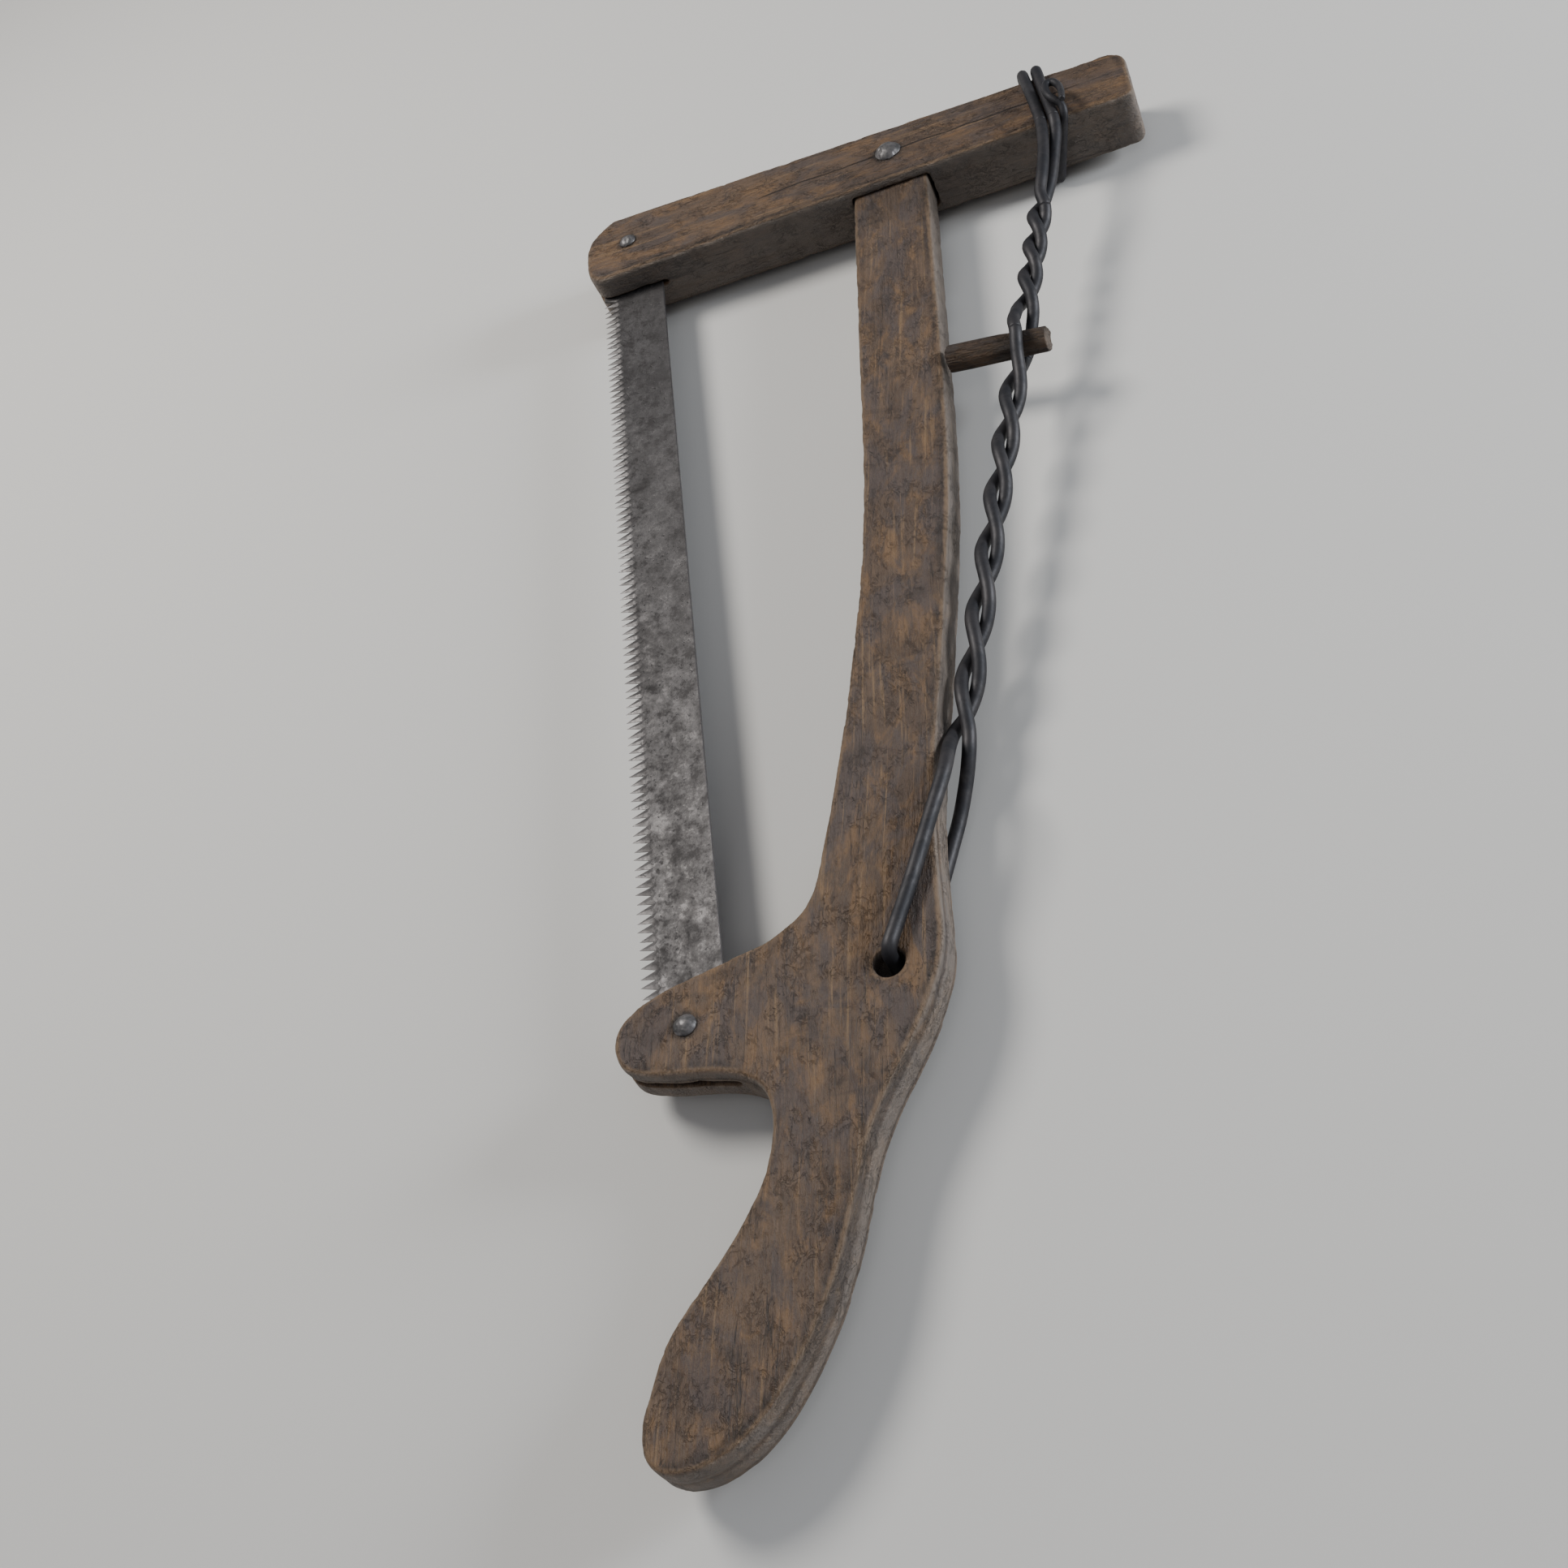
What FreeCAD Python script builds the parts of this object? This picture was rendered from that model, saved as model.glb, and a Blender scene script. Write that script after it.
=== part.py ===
import FreeCAD, Part
import math
import os
from FreeCAD import Vector as V

os.makedirs("parts", exist_ok=True)

# Bow saw, in millimetres. It lies flat on its back: +Z is out of the front face, +Y runs up the blade
# from the grip to the arm, and +X points from the blade to the wire. Every place below is drawn from a
# datum on the blade: x = 0 on the tooth tips, y = 0 at the nose end of the toothed run, z = 0 in the
# middle of the blade's thickness. place() then moves the datum so that the origin is under the middle
# of the whole saw, on the surface that it lies on.
ORIGIN_IN_DATUM = V(120.77, 122.30, -18.05)

# stock: one plank, cut to a paddle grip, a nose that holds the blade and a curved upright
STOCK_T = 16.0
STOCK_EDGE = 1.6  # worn round of the long edges
TENON_W = 33.3
TENON_LEAN = math.radians(5.05)  # the tenon and the arm's underside lean together
TENON_FOOT = V(137.7, 340.0, 0)
TENON_LENGTH = 49.4

# arm: a tapered bar with a mortise for the stock and a kerf for the blade
ARM_T = 25.5
ARM_EDGE = 2.4
ARM_LEFT = -2.7
ARM_RIGHT = 248.4
UNDERSIDE_AT_0 = 370.7
UNDERSIDE_SLOPE = -0.0884
TOP_AT_0 = 414.3
TOP_SLOPE = -0.1262
MORTISE_PLAY = 0.95  # room beside the tenon, so that the arm can rock
MORTISE_SIDE = 0.3
MORTISE_TOP = 1.2

# blade
BLADE_T = 1.2
BLADE_W = 29.4
BLADE_LOW = -37.0
BLADE_HIGH = 400.0
TOOTH_PITCH = 3.8
TOOTH_DEPTH = 6.2
TEETH_FROM = -19.0
TEETH = 102
KERF = 2.0
KERF_END = 32.0  # the kerfs are sawn this far in from the tooth side
ARM_KERF_ROOF = 404.5
NOSE_DEPTH = 60.0
OUTSIDE = 20.0  # how far a cutting box starts outside the wood

# pins: places, shanks and heads
PIVOT = V(142.5, 377.5, 0)
BLADE_TOP = V(18.6, 391.0, 0)
BLADE_FOOT = V(17.8, -30.0, 0)
PIVOT_R = 3.5
PIVOT_HEAD_R = 6.0
PIN_R = 2.25
PIN_HEAD_R = 4.1
DOME = 0.36  # a head's height over its radius
ROVE_T = 1.0
RUNNING = 0.08  # radial clearance of a pin in a piece that turns on it
SEAT = 0.02  # radial clearance of a pin in a piece that it stays still in
SLACK_SLOT = 2.9  # how far the blade can come down on its foot pin

# tension wire: one length, doubled through the stock's hole and twisted
WIRE_R = 2.5
TAIL_R = 1.7  # the hooked end is drawn thinner
GAP = 0.3  # the wire stands this far off whatever it lies on
HOLE = V(85.3, -29.6, 0)
HOLE_R = 4.85
HOLE_EDGE = 1.0
TWIST_TOP = V(198.1, 305.6, 10.4)
TWIST_FOOT = V(121.9, 61.5, 0)
TWIST_R = 3.0  # strand centre from the twist's own axis
EYE_R = 8.9  # the same where the toggle parts the strands
EYE_HALF = 10.5
TOGGLE_FROM_TOP = 82.0  # along the twist's axis
CALM = 10.0  # the strands run nearly straight this far beside the toggle
HALF_TURN_ABOVE = 17.2
HALF_TURN_BELOW = 22.4
HALF_TURN_GROWTH = 1.25  # each half turn below the toggle is longer than the last by this
STRAND_STEP = 6.4
TAIL_BENDS = 8  # bends from the arm's lower front edge to the end
TWIST_FROM = -81.8  # where the twist starts and ends, along its axis from the toggle
TWIST_TO = 172.0

# toggle
TOGGLE_R = 5.4
TOGGLE_END_R = 5.1
TOGGLE_TIP = V(145.75, 236.2, 5.4)
TOGGLE_LENGTH = 41.0


def place(shape):
    moved = shape.copy()
    moved.translate(ORIGIN_IN_DATUM * -1)
    return moved


def save(shape, name):
    place(shape).exportStep("parts/" + name + ".step")
    print(name, "valid", shape.isValid(), "solids", len(shape.Solids), "volume", round(shape.Volume))


def curve(points):
    spline = Part.BSplineCurve()
    spline.interpolate([V(x, y, 0) for x, y in points])
    return spline.toShape()


def line(start, end):
    return Part.LineSegment(V(start[0], start[1], 0), V(end[0], end[1], 0)).toShape()


def slab(edges, thickness):
    face = Part.Face(Part.Wire(edges))
    face.translate(V(0, 0, -thickness / 2))
    return face.extrude(V(0, 0, thickness))


def cylinder(radius, low, high, at):
    return Part.makeCylinder(radius, high - low, V(at.x, at.y, low))


def rounded_rims(solid, half, radius):
    """The solid with the outer edges of its front and back faces rounded."""
    rims = [e for e in solid.Edges if all(abs(abs(v.Z) - half) < 1e-6 for v in e.Vertexes)]
    return solid.makeFillet(radius, rims)


# ---- stock ----

UPRIGHT_LEFT = [(121.0, 346.0), (113.6, 275.4), (106.6, 207.2), (100.7, 159.2), (92.1, 112.8), (81.6, 66.7),
                (64.8, 7.4)]
NOSE = [(64.8, 7.4), (57.8, -1.9), (49.0, -6.9), (32.3, -10.2), (13.3, -13.7), (1.5, -17.6), (-5.6, -24.4),
        (-6.8, -31.5), (-3.6, -39.3), (4.0, -43.6), (16.0, -46.9), (28.5, -50.4), (37.4, -55.4), (41.9, -62.5)]
GRIP_LEFT = [(41.9, -62.5), (42.6, -72.0), (39.4, -85.5), (31.6, -99.7), (21.6, -112.0), (10.9, -123.3),
             (3.0, -134.8), (-1.8, -147.0), (-3.9, -157.0), (0.0, -165.4), (9.0, -168.1), (21.5, -165.6),
             (33.0, -158.1), (43.0, -146.8), (52.2, -133.0), (60.2, -116.4), (66.6, -98.6), (73.0, -82.3),
             (82.0, -67.6), (93.0, -51.2), (100.2, -36.6), (103.9, -20.0)]
UPRIGHT_RIGHT = [(103.9, -20.0), (105.0, -4.0), (107.4, 20.0), (111.0, 42.0), (117.6, 72.7), (126.2, 115.4),
                 (134.2, 158.3), (141.9, 218.4), (148.3, 282.2), (154.6, 343.0)]


def tenon():
    across = V(math.cos(TENON_LEAN), -math.sin(TENON_LEAN), 0)
    up = V(math.sin(TENON_LEAN), math.cos(TENON_LEAN), 0)
    corners = [TENON_FOOT - across * (TENON_W / 2), TENON_FOOT + across * (TENON_W / 2)]
    corners += [corners[1] + up * TENON_LENGTH, corners[0] + up * TENON_LENGTH]
    return corners


def stock():
    top_right, top_left = [(c.x, c.y) for c in tenon()[2:]]
    edges = [curve(UPRIGHT_LEFT), curve(NOSE), curve(GRIP_LEFT), curve(UPRIGHT_RIGHT)]
    edges += [line(UPRIGHT_RIGHT[-1], top_right), line(top_right, top_left), line(top_left, UPRIGHT_LEFT[0])]
    body = rounded_rims(slab(edges, STOCK_T), STOCK_T / 2, STOCK_EDGE)
    kerf = Part.makeBox(KERF_END + OUTSIDE, NOSE_DEPTH, KERF, V(-OUTSIDE, -NOSE_DEPTH, -KERF / 2))
    body = body.cut(kerf)
    hole = cylinder(HOLE_R, -STOCK_T, STOCK_T, HOLE)
    body = body.cut(hole)
    mouths = [e for e in body.Edges if is_rim(e, HOLE, HOLE_R)]
    body = body.makeFillet(HOLE_EDGE, mouths)
    body = body.cut(cylinder(PIN_R + SEAT, -STOCK_T, STOCK_T, BLADE_FOOT))
    return body.cut(cylinder(PIVOT_R + RUNNING, -STOCK_T, STOCK_T, PIVOT))


def is_rim(edge, centre, radius):
    """Whether an edge is the whole circle of that radius round centre, in a plane of its own z."""
    box = edge.BoundBox
    off_axis = math.hypot(box.Center.x - centre.x, box.Center.y - centre.y)
    return off_axis < 0.01 and abs(box.XLength - 2 * radius) < 0.01 and box.ZLength < 0.01


# ---- arm ----


def underside(x):
    return UNDERSIDE_AT_0 + UNDERSIDE_SLOPE * x


def top(x):
    return TOP_AT_0 + TOP_SLOPE * x


def arm_outline():
    left_end = curve([(12.0, top(12.0)), (4.2, 407.4), (-1.2, 400.2), (ARM_LEFT, 391.0), (-2.4, 381.0),
                      (-0.2, 374.2), (5.5, underside(5.5))])
    bottom = line((5.5, underside(5.5)), (242.0, underside(242.0)))
    right_low = curve([(242.0, underside(242.0)), (245.8, 350.9), (247.2, 355.0)])
    right_end = line((247.2, 355.0), (ARM_RIGHT, 374.6))
    right_high = curve([(ARM_RIGHT, 374.6), (246.6, 380.6), (238.0, top(238.0))])
    return [left_end, bottom, right_low, right_end, right_high, line((238.0, top(238.0)), (12.0, top(12.0)))]


def mortise():
    across = V(math.cos(TENON_LEAN), -math.sin(TENON_LEAN), 0)
    up = V(math.sin(TENON_LEAN), math.cos(TENON_LEAN), 0)
    foot_left, foot_right, top_right, top_left = tenon()
    corners = [foot_left - across * MORTISE_PLAY, foot_right + across * MORTISE_PLAY]
    corners += [top_right + across * MORTISE_PLAY + up * MORTISE_TOP]
    corners += [top_left - across * MORTISE_PLAY + up * MORTISE_TOP]
    ring = [(c.x, c.y) for c in corners]
    edges = [line(ring[i], ring[(i + 1) % 4]) for i in range(4)]
    return slab(edges, STOCK_T + 2 * MORTISE_SIDE)


def arm():
    body = rounded_rims(slab(arm_outline(), ARM_T), ARM_T / 2, ARM_EDGE)
    body = body.cut(mortise())
    below_arm = underside(KERF_END) - OUTSIDE
    kerf = Part.makeBox(KERF_END + OUTSIDE, ARM_KERF_ROOF - below_arm, KERF, V(-OUTSIDE, below_arm, -KERF / 2))
    body = body.cut(kerf)
    body = body.cut(cylinder(PIVOT_R + SEAT, -ARM_T, ARM_T, PIVOT))
    return body.cut(cylinder(PIN_R + SEAT, -ARM_T, ARM_T, BLADE_TOP))


# ---- blade ----


def blade_outline():
    gullet = TOOTH_DEPTH
    teeth_top = TEETH_FROM + TEETH * TOOTH_PITCH
    points = [(0, TEETH_FROM - 0.5 * TOOTH_PITCH)]
    for i in range(TEETH):
        low = TEETH_FROM + i * TOOTH_PITCH
        points += [(gullet, low), (0, low + TOOTH_PITCH / 2)]
    points += [(gullet, teeth_top), (0, teeth_top + TOOTH_PITCH / 2)]
    points += [(0, BLADE_HIGH - 9), (9, BLADE_HIGH), (BLADE_W - 3, BLADE_HIGH), (BLADE_W, BLADE_HIGH - 3)]
    points += [(BLADE_W, BLADE_LOW + 3), (BLADE_W - 3, BLADE_LOW), (5, BLADE_LOW), (0, BLADE_LOW + 5)]
    return points


def foot_slot():
    """The blade's lower hole, longer upwards than the pin needs, so that the blade can come down slack."""
    radius = PIN_R + 0.15
    low = cylinder(radius, -BLADE_T, BLADE_T, BLADE_FOOT)
    high = cylinder(radius, -BLADE_T, BLADE_T, BLADE_FOOT + V(0, SLACK_SLOT, 0))
    between = Part.makeBox(2 * radius, SLACK_SLOT, 2 * BLADE_T, BLADE_FOOT + V(-radius, 0, -BLADE_T))
    return low.fuse(between).fuse(high)


def blade():
    points = blade_outline()
    edges = [line(points[i - 1], points[i]) for i in range(len(points))]
    body = slab(edges, BLADE_T)
    body = body.cut(cylinder(PIN_R + RUNNING, -BLADE_T, BLADE_T, BLADE_TOP))
    return body.cut(foot_slot())


# ---- rivets ----


def dome(radius, height, at, z, side):
    """A spherical cap standing on the plane z, outwards to side (+1 or -1)."""
    sphere_r = (radius * radius + height * height) / (2 * height)
    centre = V(at.x, at.y, z + side * (height - sphere_r))
    ball = Part.makeSphere(sphere_r, centre)
    low = z if side > 0 else z - height
    keep = Part.makeCylinder(radius + 1, height, V(at.x, at.y, low))
    return ball.common(keep)


def rivet(at, shank_r, head_r, half):
    """Domed head on the front face at z = half, shank through, peened end over the rove on the back."""
    end = -half - ROVE_T
    shank = cylinder(shank_r, end, half, at)
    head = dome(head_r, 2 * DOME * head_r * 0.75, at, half, 1)
    peened = dome(shank_r * 1.45, shank_r * 0.6, at, end, -1)
    return shank.fuse(head).fuse(peened).removeSplitter()


def rove(at, shank_r, head_r, half):
    """The washer under a rivet's peened end."""
    disc = cylinder(head_r, -half - ROVE_T, -half, at)
    outer = [e for e in disc.Edges if isinstance(e.Curve, Part.Circle) and e.Vertexes[0].Z < -half - ROVE_T / 2]
    disc = disc.makeChamfer(ROVE_T * 0.4, outer)
    return disc.cut(cylinder(shank_r + SEAT, -half - 2 * ROVE_T, 0, at))


# ---- tension wire ----

TWIST_DOWN = (TWIST_FOOT - TWIST_TOP).normalize()
TWIST_FRONT = (V(0, 0, 1) - TWIST_DOWN * TWIST_DOWN.z).normalize()
TWIST_RIGHT = TWIST_FRONT.cross(TWIST_DOWN)
TOGGLE_EYE = TWIST_TOP + TWIST_DOWN * TOGGLE_FROM_TOP


def eased(distance):
    """Zero beside the toggle, then growing with distance, with a soft start at CALM."""
    soft = 6.0
    past = distance - CALM - soft / 2
    return (math.sqrt(past * past + soft * soft) + past) / 2


def phase(s):
    """Angle of the upper strand about the twist's axis, s millimetres below the toggle."""
    if s < 0:
        return math.pi / 2 + math.pi * eased(-s) / HALF_TURN_ABOVE
    root = math.sqrt(HALF_TURN_BELOW**2 + 2 * HALF_TURN_GROWTH * eased(s))
    return math.pi / 2 - math.pi * (root - HALF_TURN_BELOW) / HALF_TURN_GROWTH


def strand_point(s, turned):
    radius = TWIST_R + (EYE_R - TWIST_R) * math.exp(-((s / EYE_HALF) ** 2))
    angle = phase(s) + turned
    offset = TWIST_RIGHT * (radius * math.cos(angle)) + TWIST_FRONT * (radius * math.sin(angle))
    return TOGGLE_EYE + TWIST_DOWN * s + offset


def strand(turned, first, last):
    """Points down one twisted strand, from s = first to s = last."""
    count = round((last - first) / STRAND_STEP)
    return [strand_point(first + (last - first) * i / count, turned) for i in range(count + 1)]


def wire_route():
    """The wire's centreline as corner points, and the bend radius where a corner has its own."""
    face = ARM_T / 2 + WIRE_R + GAP
    stock_face = STOCK_T / 2 + WIRE_R + GAP
    edge_bend = ARM_EDGE + WIRE_R + GAP
    over = WIRE_R + GAP
    hole_bend = 3.2
    threaded = V(86.0, -27.7, 0)
    route = [(V(199.5, 372.5, -face), None)]
    route += [(V(205.4, top(205.4) + over, -face), edge_bend), (V(206.3, top(206.3) + over, face), edge_bend)]
    route += [(V(207.1, 372.0, face), None), (V(207.7, 350.0, face), None), (V(205.2, 331.0, 15.6), None)]
    route += [(V(201.7, 316.0, 15.2), None)]
    route += [(p, None) for p in strand(0, TWIST_FROM, TWIST_TO)]
    route += [(V(122.6, 55.0, 0.0), None), (V(120.3, 47.0, -2.4), None), (V(117.0, 40.5, -6.6), None)]
    route += [(V(111.8, 30.0, -stock_face), None), (V(99.0, 0.0, -stock_face), None)]
    route += [(threaded - V(0, 0, stock_face), hole_bend), (threaded + V(0, 0, stock_face), hole_bend)]
    route += [(V(97.0, -5.0, stock_face), None), (V(106.2, 16.4, stock_face), None)]
    route += [(V(114.0, 33.4, stock_face), None), (V(115.6, 43.6, 7.2), None), (V(115.8, 50.8, 2.4), None)]
    route += [(V(117.2, 58.4, -1.6), None)]
    route += [(p, None) for p in reversed(strand(math.pi, TWIST_FROM, TWIST_TO))]
    route += [(V(204.0, 317.6, 8.6), None), (V(208.2, 331.0, 10.4), None), (V(212.3, 343.5, 13.2), None)]
    route += [(V(213.0, 350.8, face), None), (V(212.5, 374.0, face), None)]
    route += [(V(212.3, top(212.3) + over, face), edge_bend), (V(211.7, top(211.7) + over, -face), edge_bend)]
    route += [(V(207.1, underside(207.1) - over, -face), edge_bend)]
    thin = TAIL_R + GAP
    route += [(V(217.5, underside(217.5) - thin, ARM_T / 2 + thin), ARM_EDGE + thin)]
    route += [(V(217.9, 353.4, 17.3), None), (V(213.9, 356.2, 20.2), None), (V(213.0, 362.5, 20.1), None)]
    route += [(V(214.0, 367.6, 20.0), None), (V(217.2, 368.2, 19.6), None), (V(219.0, 363.5, 19.6), None)]
    route += [(V(219.2, 356.6, 21.2), None), (V(218.3, 347.5, 23.0), None)]
    return route


def bend_radius(before, at, after, own):
    turn = (at - before).getAngle(after - at)
    if own:
        return own, turn
    shorter = min((at - before).Length, (after - at).Length)
    return 0.45 * shorter / math.tan(turn / 2), turn


def path(route):
    """Straight runs joined by tangent arcs, as one wire."""
    edges = []
    radii = []
    reach = route[0][0]
    for i in range(1, len(route) - 1):
        before, (at, own), after = route[i - 1][0], route[i], route[i + 1][0]
        radius, turn = bend_radius(before, at, after, own)
        cut = radius * math.tan(turn / 2)
        back = (before - at).normalize()
        on = (after - at).normalize()
        start = at + back * cut
        end = at + on * cut
        middle_way = (back + on).normalize()
        middle = at + middle_way * (radius / math.cos(turn / 2) - radius)
        edges.append(Part.LineSegment(reach, start).toShape())
        edges.append(Part.Arc(start, middle, end).toShape())
        radii.append(radius)
        reach = end
    edges.append(Part.LineSegment(reach, route[-1][0]).toShape())
    return Part.Wire(edges), radii


def swept(edges, radius):
    start = edges[0]
    first = start.FirstParameter
    circle = Part.Circle(start.valueAt(first), start.tangentAt(first), radius)
    return Part.Wire(edges).makePipeShell([Part.Wire(circle.toShape())], True, False)


def tension_wire():
    """Full width up to the last run under the arm, a taper along that run, and the thin hooked tail."""
    spine, radii = path(wire_route())
    edges = spine.Edges
    tail = 2 * TAIL_BENDS
    taper = edges[-tail - 1]
    start = taper.valueAt(taper.FirstParameter)
    end = taper.valueAt(taper.LastParameter)
    cone = Part.makeCone(WIRE_R, TAIL_R, taper.Length, start, end - start)
    full = swept(edges[:-tail - 1], WIRE_R)
    thin = swept(edges[-tail:], TAIL_R)
    print("wire length", round(spine.Length), "bend radii", sorted(round(r, 1) for r in radii)[:12])
    print("pieces", round(full.Volume), round(cone.Volume), round(thin.Volume))
    return full.fuse([cone, thin]).removeSplitter()


# ---- toggle ----


def toggle():
    along = (TOGGLE_EYE - TOGGLE_TIP).normalize()
    peg = Part.makeCone(TOGGLE_R, TOGGLE_END_R, TOGGLE_LENGTH, TOGGLE_TIP, along)
    rims = [e for e in peg.Edges if isinstance(e.Curve, Part.Circle)]
    return peg.makeFillet(0.8, rims)


save(stock(), "stock")
save(arm(), "arm")
save(blade(), "blade")
save(rivet(PIVOT, PIVOT_R, PIVOT_HEAD_R, ARM_T / 2), "pivot_rivet")
save(rove(PIVOT, PIVOT_R, PIVOT_HEAD_R, ARM_T / 2), "pivot_rove")
save(rivet(BLADE_TOP, PIN_R, PIN_HEAD_R, ARM_T / 2), "blade_top_rivet")
save(rove(BLADE_TOP, PIN_R, PIN_HEAD_R, ARM_T / 2), "blade_top_rove")
save(rivet(BLADE_FOOT, PIN_R, PIN_HEAD_R, STOCK_T / 2), "blade_foot_rivet")
save(rove(BLADE_FOOT, PIN_R, PIN_HEAD_R, STOCK_T / 2), "blade_foot_rove")
save(tension_wire(), "tension_wire")
save(toggle(), "toggle_peg")
print("toggle turns about", TOGGLE_EYE - ORIGIN_IN_DATUM, "along", TWIST_DOWN * -1)
print("pivot at", PIVOT - ORIGIN_IN_DATUM, "blade top at", BLADE_TOP - ORIGIN_IN_DATUM)
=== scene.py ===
import math

import bmesh
import bpy
import numpy as np
from mathutils import Matrix, Vector
from mathutils.geometry import tessellate_polygon
from mathutils.kdtree import KDTree


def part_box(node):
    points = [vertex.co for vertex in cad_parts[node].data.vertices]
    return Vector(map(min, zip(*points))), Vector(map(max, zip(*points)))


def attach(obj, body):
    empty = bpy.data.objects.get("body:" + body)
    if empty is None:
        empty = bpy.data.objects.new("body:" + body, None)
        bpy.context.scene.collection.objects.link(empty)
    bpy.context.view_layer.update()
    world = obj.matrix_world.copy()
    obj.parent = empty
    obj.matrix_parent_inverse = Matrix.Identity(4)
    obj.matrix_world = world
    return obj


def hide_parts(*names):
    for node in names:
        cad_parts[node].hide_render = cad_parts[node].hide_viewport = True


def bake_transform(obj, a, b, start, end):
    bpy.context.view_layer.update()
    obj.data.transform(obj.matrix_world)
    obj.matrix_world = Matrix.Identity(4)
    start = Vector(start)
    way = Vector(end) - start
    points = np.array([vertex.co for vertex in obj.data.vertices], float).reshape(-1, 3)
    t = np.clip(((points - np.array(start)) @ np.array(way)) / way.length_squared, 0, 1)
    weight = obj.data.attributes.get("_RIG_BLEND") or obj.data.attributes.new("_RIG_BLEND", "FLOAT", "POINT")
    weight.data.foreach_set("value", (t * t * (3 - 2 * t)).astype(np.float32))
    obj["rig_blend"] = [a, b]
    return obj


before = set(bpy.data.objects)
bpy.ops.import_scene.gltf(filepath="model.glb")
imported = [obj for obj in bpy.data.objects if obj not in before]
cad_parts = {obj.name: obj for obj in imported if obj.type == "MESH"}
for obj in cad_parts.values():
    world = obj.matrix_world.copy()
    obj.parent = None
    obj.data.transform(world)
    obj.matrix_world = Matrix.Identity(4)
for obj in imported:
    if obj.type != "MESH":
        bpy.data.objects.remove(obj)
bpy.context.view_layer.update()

MM = 0.001

# The model's own datum, in millimetres: x = 0 on the tooth tips, y = 0 at the nose, z = 0 in mid-blade.
DATUM = np.array([120.77, 122.30, -18.05])


def at(x, y, z=0.0):
    """A datum place in the row frame, in metres."""
    return Vector((np.array([x, y, z]) - DATUM) * MM)


# ---- camera, floor and light ----


def look():
    data = bpy.data.cameras.new("camera")
    data.sensor_width = 36.0
    data.lens = 43.45
    data.clip_start = 0.01
    camera = bpy.data.objects.new("camera", data)
    bpy.context.scene.collection.objects.link(camera)
    right = Vector((0.92324, -0.09265, -0.37287))
    up = Vector((0.30971, 0.75378, 0.57956))
    turned = Matrix((right, up, right.cross(up))).transposed().to_4x4()
    camera.matrix_world = Matrix.Translation(at(202.5, -357.6, 464.3)) @ turned
    bpy.context.scene.camera = camera


def area_light(name, place, target, size, power, colour):
    data = bpy.data.lights.new(name, "AREA")
    data.shape = "DISK"
    data.size = size
    data.energy = power
    data.color = colour
    lamp = bpy.data.objects.new(name, data)
    bpy.context.scene.collection.objects.link(lamp)
    way = Vector(target) - Vector(place)
    lamp.matrix_world = Matrix.Translation(place) @ way.to_track_quat("-Z", "Y").to_matrix().to_4x4()


def studio():
    world = bpy.data.worlds.new("world")
    bpy.context.scene.world = world
    world.use_nodes = True
    background = world.node_tree.nodes["Background"]
    background.inputs["Color"].default_value = (0.86, 0.90, 1.0, 1)
    background.inputs["Strength"].default_value = 0.23
    middle = (0.0, 0.0, 0.02)
    area_light("key", (-0.75, 0.62, 1.20), middle, 0.6, 21.0, (1.0, 0.97, 0.92))
    area_light("rim", (1.25, 0.10, 0.42), middle, 0.45, 17.0, (0.90, 0.95, 1.0))
    area_light("fill", (0.1, -1.0, 1.3), middle, 1.0, 3.0, (1.0, 0.98, 0.96))
    bpy.ops.mesh.primitive_plane_add(size=9.0, location=(0, 0, 0))
    floor = bpy.context.object
    floor.name = "floor"
    material = bpy.data.materials.new("floor")
    material.use_nodes = True
    shader = material.node_tree.nodes["Principled BSDF"]
    shader.inputs["Base Color"].default_value = (0.62, 0.61, 0.59, 1)
    shader.inputs["Roughness"].default_value = 0.9
    floor.data.materials.append(material)


# ---- noise and mesh helpers ----


def hashed(i, j, k, seed):
    """A fixed number from 0 to 1 for each whole-number cell corner."""
    h = (i * 374761393 + j * 668265263 + k * 1440662683 + seed * 974634777) & 0xFFFFFFFF
    h = ((h ^ (h >> 13)) * 1274126177) & 0xFFFFFFFF
    h = ((h ^ (h >> 16)) * 2246822519) & 0xFFFFFFFF
    return ((h ^ (h >> 15)) & 0xFFFF) / 65535.0


def noise(p, seed):
    """Smooth noise from 0 to 1, one cell per unit."""
    cell = np.floor(p).astype(np.int64)
    f = p - cell
    f = f * f * (3 - 2 * f)
    total = np.zeros(len(p))
    for corner in range(8):
        d = (corner & 1, corner >> 1 & 1, corner >> 2 & 1)
        weight = np.ones(len(p))
        for axis in range(3):
            weight = weight * (f[:, axis] if d[axis] else 1 - f[:, axis])
        total += weight * hashed(cell[:, 0] + d[0], cell[:, 1] + d[1], cell[:, 2] + d[2], seed)
    return total


def fractal(p, octaves, seed):
    total = sum(noise(p * 2**o, seed + o) * 0.5**o for o in range(octaves))
    return total / sum(0.5**o for o in range(octaves))


def step(low, high, x):
    t = np.clip((x - low) / (high - low), 0, 1)
    return t * t * (3 - 2 * t)


def co_of(mesh):
    out = np.empty(len(mesh.vertices) * 3)
    mesh.vertices.foreach_get("co", out)
    return out.reshape(-1, 3)


def normals_of(mesh):
    out = np.empty(len(mesh.vertices) * 3)
    mesh.vertex_normals.foreach_get("vector", out)
    return out.reshape(-1, 3)


def float_layer(mesh, name, values):
    layer = mesh.attributes.new(name, "FLOAT", "POINT")
    layer.data.foreach_set("value", np.asarray(values, np.float32))


def vector_layer(mesh, name, values):
    layer = mesh.attributes.new(name, "FLOAT_VECTOR", "POINT")
    layer.data.foreach_set("vector", np.asarray(values, np.float32).ravel())


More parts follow.
